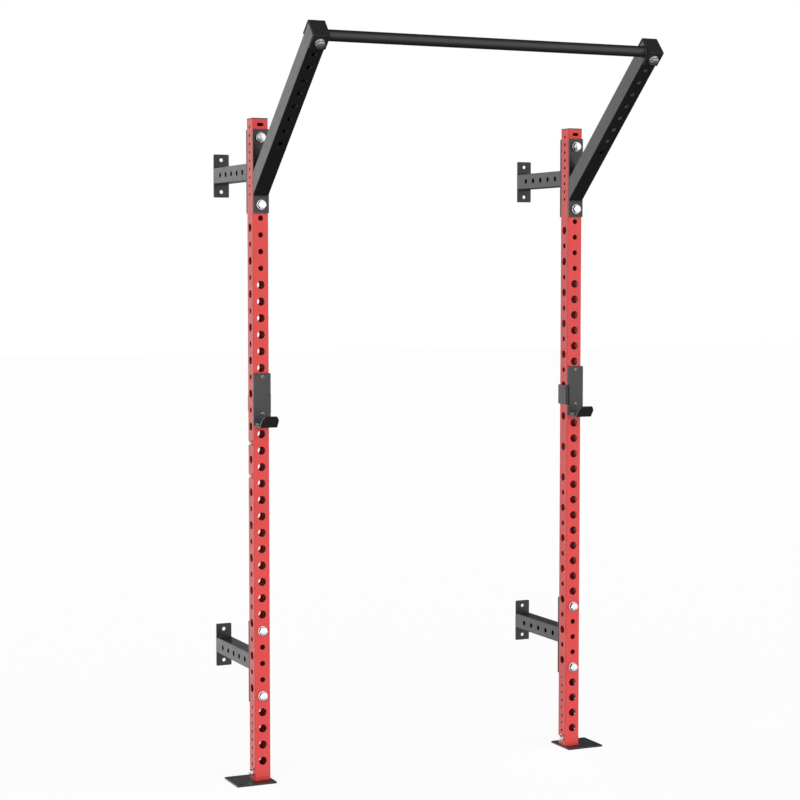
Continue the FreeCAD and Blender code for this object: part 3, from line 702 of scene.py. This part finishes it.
# J-cup plates: bent steel plate in a finer, matt black coat, each with a round pin in a side hole.
# A moulded liner, grey with handling, covers the face behind the barbell.
CUP_BLACK = (0.012, 0.012, 0.0125)
CUP_ROUGHNESS = 0.36
CUP_PEEL = 0.9
CUP_GLOSS = 0.5
LINER_GREY = (0.034, 0.034, 0.035)
LINER_SCUFF = (0.09, 0.09, 0.09)
LINER_ROUGHNESS = 0.45
LINER_GRAIN = 0.5
LINER_GLOSS = 0.5
cup_coat = powder_coat("cup_powder_coat", CUP_BLACK, BLACK_WORN, CUP_ROUGHNESS, CUP_PEEL, CUP_GLOSS)
LINER_SKIN = (LINER_GREY, LINER_SCUFF, LINER_ROUGHNESS, LINER_GRAIN)
liner_plastic = powder_coat("liner_plastic", *LINER_SKIN, LINER_GLOSS)
for side in SIDES:
    dress(cup_coat, "j_cup_body_" + side)
    dress(liner_plastic, "j_cup_liner_" + side)
    dress(zinc, "j_cup_pin_" + side)

# J-cup saddles: a pale moulded pad in each hook, where the barbell lies.
# It is a little shorter than the hook, with soft corners, so a dark gap shows at either end.
SADDLE_GAP = 6.5 * MM
SADDLE_SECTION_STEPS = 48
SADDLE_RUN_STEPS = 17
SADDLE_SQUARENESS = 0.28
SADDLE_DRAW = 0.07
SADDLE_END_TURN = math.radians(78.0)
SADDLE_GREY = (0.105, 0.105, 0.10)
SADDLE_SCUFF = (0.20, 0.20, 0.19)
SADDLE_ROUGHNESS = 0.50
SADDLE_GRAIN = 0.3
SADDLE_GLOSS = 0.4
SADDLE_SKIN = (SADDLE_GREY, SADDLE_SCUFF, SADDLE_ROUGHNESS, SADDLE_GRAIN)
saddle_plastic = powder_coat("saddle_plastic", *SADDLE_SKIN, SADDLE_GLOSS)


def soft_block(low, high):
    """Rounded block: a superellipse section in Y and Z, its cosine and sine raised to a small power,
    carried along X and drawn in at both ends by the same rule."""
    middle = (low + high) / 2
    half = (high - low) / 2
    turn = np.linspace(0, 2 * math.pi, SADDLE_SECTION_STEPS, endpoint=False)
    along = np.linspace(-SADDLE_END_TURN, SADDLE_END_TURN, SADDLE_RUN_STEPS)
    x = half[0] * np.sign(np.sin(along)) * np.abs(np.sin(along)) ** SADDLE_SQUARENESS
    draw = np.cos(along) ** SADDLE_DRAW
    y = half[1] * np.sign(np.cos(turn)) * np.abs(np.cos(turn)) ** SADDLE_SQUARENESS
    z = half[2] * np.sign(np.sin(turn)) * np.abs(np.sin(turn)) ** SADDLE_SQUARENESS
    rings = np.empty((SADDLE_RUN_STEPS, SADDLE_SECTION_STEPS, 3))
    rings[:, :, 0] = middle[0] + x[:, None]
    rings[:, :, 1] = middle[1] + draw[:, None] * y
    rings[:, :, 2] = middle[2] + draw[:, None] * z
    faces = grid_faces(SADDLE_RUN_STEPS, SADDLE_SECTION_STEPS, True).tolist()
    faces.append(np.arange(SADDLE_SECTION_STEPS).tolist())
    faces.append((SADDLE_RUN_STEPS * SADDLE_SECTION_STEPS - 1 - np.arange(SADDLE_SECTION_STEPS)).tolist())
    return rings.reshape(-1, 3), faces


for side in SIDES:
    saddle_low, saddle_high = (np.array(corner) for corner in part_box("j_cup_saddle_" + side))
    saddle_low[1] += SADDLE_GAP
    saddle_high[1] -= SADDLE_GAP
    points, faces = soft_block(saddle_low, saddle_high)
    saddle = make_piece("saddle_" + side, points, faces, saddle_plastic, "j_cup_" + side)
    right_way_out(saddle.data)
    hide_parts("j_cup_saddle_" + side)

# J-cup screws: steel button screws with a hexagon socket, through the liner.
# Their heads shine along the rim; inside the socket they are dark, a painted shade in the black cup coat.
SOCKET_FLATS = 5.5 * MM
SOCKET_DEPTH = 2.4 * MM
SCREW_SHANK = 3.0 * MM
SCREW_REACH = 40 * MM
SOCKET_BREAK = 0.3 * MM
CROWN_SHARE = 0.68
BROW_SHARE = 0.85
SHOULDER_SHARE = 0.96
BROW_DROP = 0.35 * MM
SHOULDER_DROP = 0.9 * MM
SIDE_DROP = 1.6 * MM
SCREW_HEAD = 2.8 * MM
SCREW_BRIGHT = (0.46, 0.46, 0.47)
SCREW_DULL = (0.30, 0.30, 0.31)
SCREW_ROUGHNESS = 0.30
screw_steel, screw_tree, screw_shader = shader_tree("screw_steel")
screw_shader.inputs["Metallic"].default_value = 1.0
screw_spots = noise(screw_tree, 300.0, 4.0)
screw_stain = spread(screw_tree, screw_spots, NOISE_LOW, NOISE_HIGH, 0.0, 1.0)
screw_colour = colour_mix(screw_tree, screw_stain, SCREW_BRIGHT, SCREW_DULL)
screw_tree.links.new(screw_colour, screw_shader.inputs["Base Color"])
screw_shader.inputs["Roughness"].default_value = SCREW_ROUGHNESS


def socket_screw(base, axis, length, outer, shank):
    """Button screw, front first: from the socket's floor up its hexagonal wall, out over the domed
    rim, down the head's side, under the head and along the shank. Both ends close at a pole."""
    turn = np.linspace(0, 2 * math.pi, ROUND_STEPS, endpoint=False)[None, :]
    wall = hexagon(turn, SOCKET_FLATS)
    round_row = np.ones_like(turn)
    rows = [
        (SOCKET_DEPTH, wall),
        (SOCKET_BREAK, wall),
        (0.0, wall + SOCKET_BREAK),
        (0.0, round_row * outer * CROWN_SHARE),
        (BROW_DROP, round_row * outer * BROW_SHARE),
        (SHOULDER_DROP, round_row * outer * SHOULDER_SHARE),
        (SIDE_DROP, round_row * outer),
        (SCREW_HEAD, round_row * outer),
        (SCREW_HEAD, round_row * shank),
        (length, round_row * shank),
    ]
    heights = np.concatenate([np.full_like(turn, height) for height, radius in rows])
    radii = np.concatenate([radius for height, radius in rows])
    rings = turned(base, axis, heights, radii)
    count = len(rows) * ROUND_STEPS
    points = np.concatenate([rings.reshape(-1, 3), [base + axis * SOCKET_DEPTH, base + axis * length]])
    return points, grid_faces(len(rows), ROUND_STEPS, True).tolist() + pole_faces(count)


def paint_socket_shade(piece, centres):
    """Gives every face nearer to its screw's axis than the socket's corner the black cup coat, as a painted
    shade down the socket.
    """
    mesh = piece.data
    mesh.materials.append(cup_coat)
    middles = np.empty(len(mesh.polygons) * 3)
    mesh.polygons.foreach_get("center", middles)
    middles = middles.reshape(-1, 1, 3)
    away = np.linalg.norm((middles - centres[None, :, :])[:, :, [0, 2]], axis=2).min(axis=1)
    mesh.polygons.foreach_set("material_index", (away < SOCKET_FLATS / math.sqrt(3)).astype(np.int32))


for side in SIDES:
    cup_set = (screw_steel, "cup_powder_coat", "j_cup_" + side)
    screw_groups = clusters("j_cup_screws_" + side, SCREW_REACH)
    centres = np.array([(group.min(axis=0) + group.max(axis=0)) / 2 for group in screw_groups])
    screws = fasteners("j_cup_screws_" + side, socket_screw, Y_AXIS, SCREW_REACH, *cup_set, SCREW_SHANK)
    # The sockets take a painted shade in the black cup coat.
    paint_socket_shade(screws, centres)

# Floor: one plain pale sheet far beyond the rack. It takes a faint contact shade,
# and only the camera sees it, so it throws no light back up at the steel.
FLOOR_SIDE = 60.0
FLOOR_GREY = (0.36, 0.36, 0.36, 1.0)
FLOOR_GLOW = 0.80
FLOOR_ROUGHNESS = 0.9
WHITE = (1.0, 1.0, 1.0, 1.0)
floor_mesh = bpy.data.meshes.new("floor")
half = FLOOR_SIDE / 2
floor_corners = [(-half, -half, 0), (half, -half, 0), (half, half, 0), (-half, half, 0)]
floor_mesh.from_pydata(floor_corners, [], [(0, 1, 2, 3)])
floor = bpy.data.objects.new("floor", floor_mesh)
bpy.context.scene.collection.objects.link(floor)
floor.visible_diffuse = False
floor.visible_glossy = False
floor.visible_shadow = False
pale, tree, shader = shader_tree("pale_floor")
shader.inputs["Base Color"].default_value = FLOOR_GREY
shader.inputs["Roughness"].default_value = FLOOR_ROUGHNESS
shader.inputs["Specular IOR Level"].default_value = 0.0
shader.inputs["Emission Color"].default_value = WHITE
shader.inputs["Emission Strength"].default_value = FLOOR_GLOW
floor_mesh.materials.append(pale)

# Studio light: a white room with broad soft panels in front and behind to the left, dim above and
# below, and darker behind to the right. The camera itself sees only plain white behind the rack.
FRONT_LIGHT = 1.40
BACK_LEFT_LIGHT = 1.15
LEFT_LIGHT = 0.26
ROOM_LIGHT = 0.14
BACK_LEFT_DIRECTION = (-0.42, 0.9075, 0.0)
FRONT_START = 0.15
FRONT_FULL = -0.75
BACK_LEFT_START = 0.63
BACK_LEFT_FULL = 0.95
LEFT_FULL = -0.7
CEILING_START = 0.45
CEILING_FULL = 0.90
CEILING_LIGHT = 0.30
GROUND_FULL = -0.75
GROUND_START = -0.15
GROUND_LIGHT = 0.20

world = bpy.data.worlds.new("studio")
bpy.context.scene.world = world
world.use_nodes = True
tree = world.node_tree
direction = add_node(tree, "ShaderNodeTexCoord")
parts = add_node(tree, "ShaderNodeSeparateXYZ")
tree.links.new(direction.outputs["Generated"], parts.inputs[0])
towards = add_node(tree, "ShaderNodeVectorMath", operation="DOT_PRODUCT")
towards.inputs[1].default_value = BACK_LEFT_DIRECTION
tree.links.new(direction.outputs["Generated"], towards.inputs[0])
east = parts.outputs["X"]
north = parts.outputs["Y"]
height = parts.outputs["Z"]
facing = towards.outputs["Value"]
front = spread(tree, north, FRONT_START, FRONT_FULL, 0.0, FRONT_LIGHT, "SMOOTHSTEP")
back_left = spread(tree, facing, BACK_LEFT_START, BACK_LEFT_FULL, 0.0, BACK_LEFT_LIGHT, "SMOOTHSTEP")
left = spread(tree, east, 0.0, LEFT_FULL, ROOM_LIGHT, ROOM_LIGHT + LEFT_LIGHT, "SMOOTHSTEP")
above = spread(tree, height, CEILING_START, CEILING_FULL, 1.0, CEILING_LIGHT, "SMOOTHSTEP")
under = spread(tree, height, GROUND_FULL, GROUND_START, GROUND_LIGHT, 1.0, "SMOOTHSTEP")
panels = combine(tree, "ADD", combine(tree, "ADD", front, back_left), left)
strength = combine(tree, "MULTIPLY", combine(tree, "MULTIPLY", panels, above), under)
soft = add_node(tree, "ShaderNodeBackground")
soft.inputs["Color"].default_value = WHITE
tree.links.new(strength, soft.inputs["Strength"])
plain = add_node(tree, "ShaderNodeBackground", Strength=1.0)
plain.inputs["Color"].default_value = WHITE
seen = add_node(tree, "ShaderNodeLightPath")
mix = add_node(tree, "ShaderNodeMixShader")
tree.links.new(seen.outputs["Is Camera Ray"], mix.inputs[0])
tree.links.new(soft.outputs[0], mix.inputs[1])
tree.links.new(plain.outputs[0], mix.inputs[2])
tree.links.new(mix.outputs[0], tree.nodes["World Output"].inputs["Surface"])
bpy.context.scene.view_settings.view_transform = "Standard"
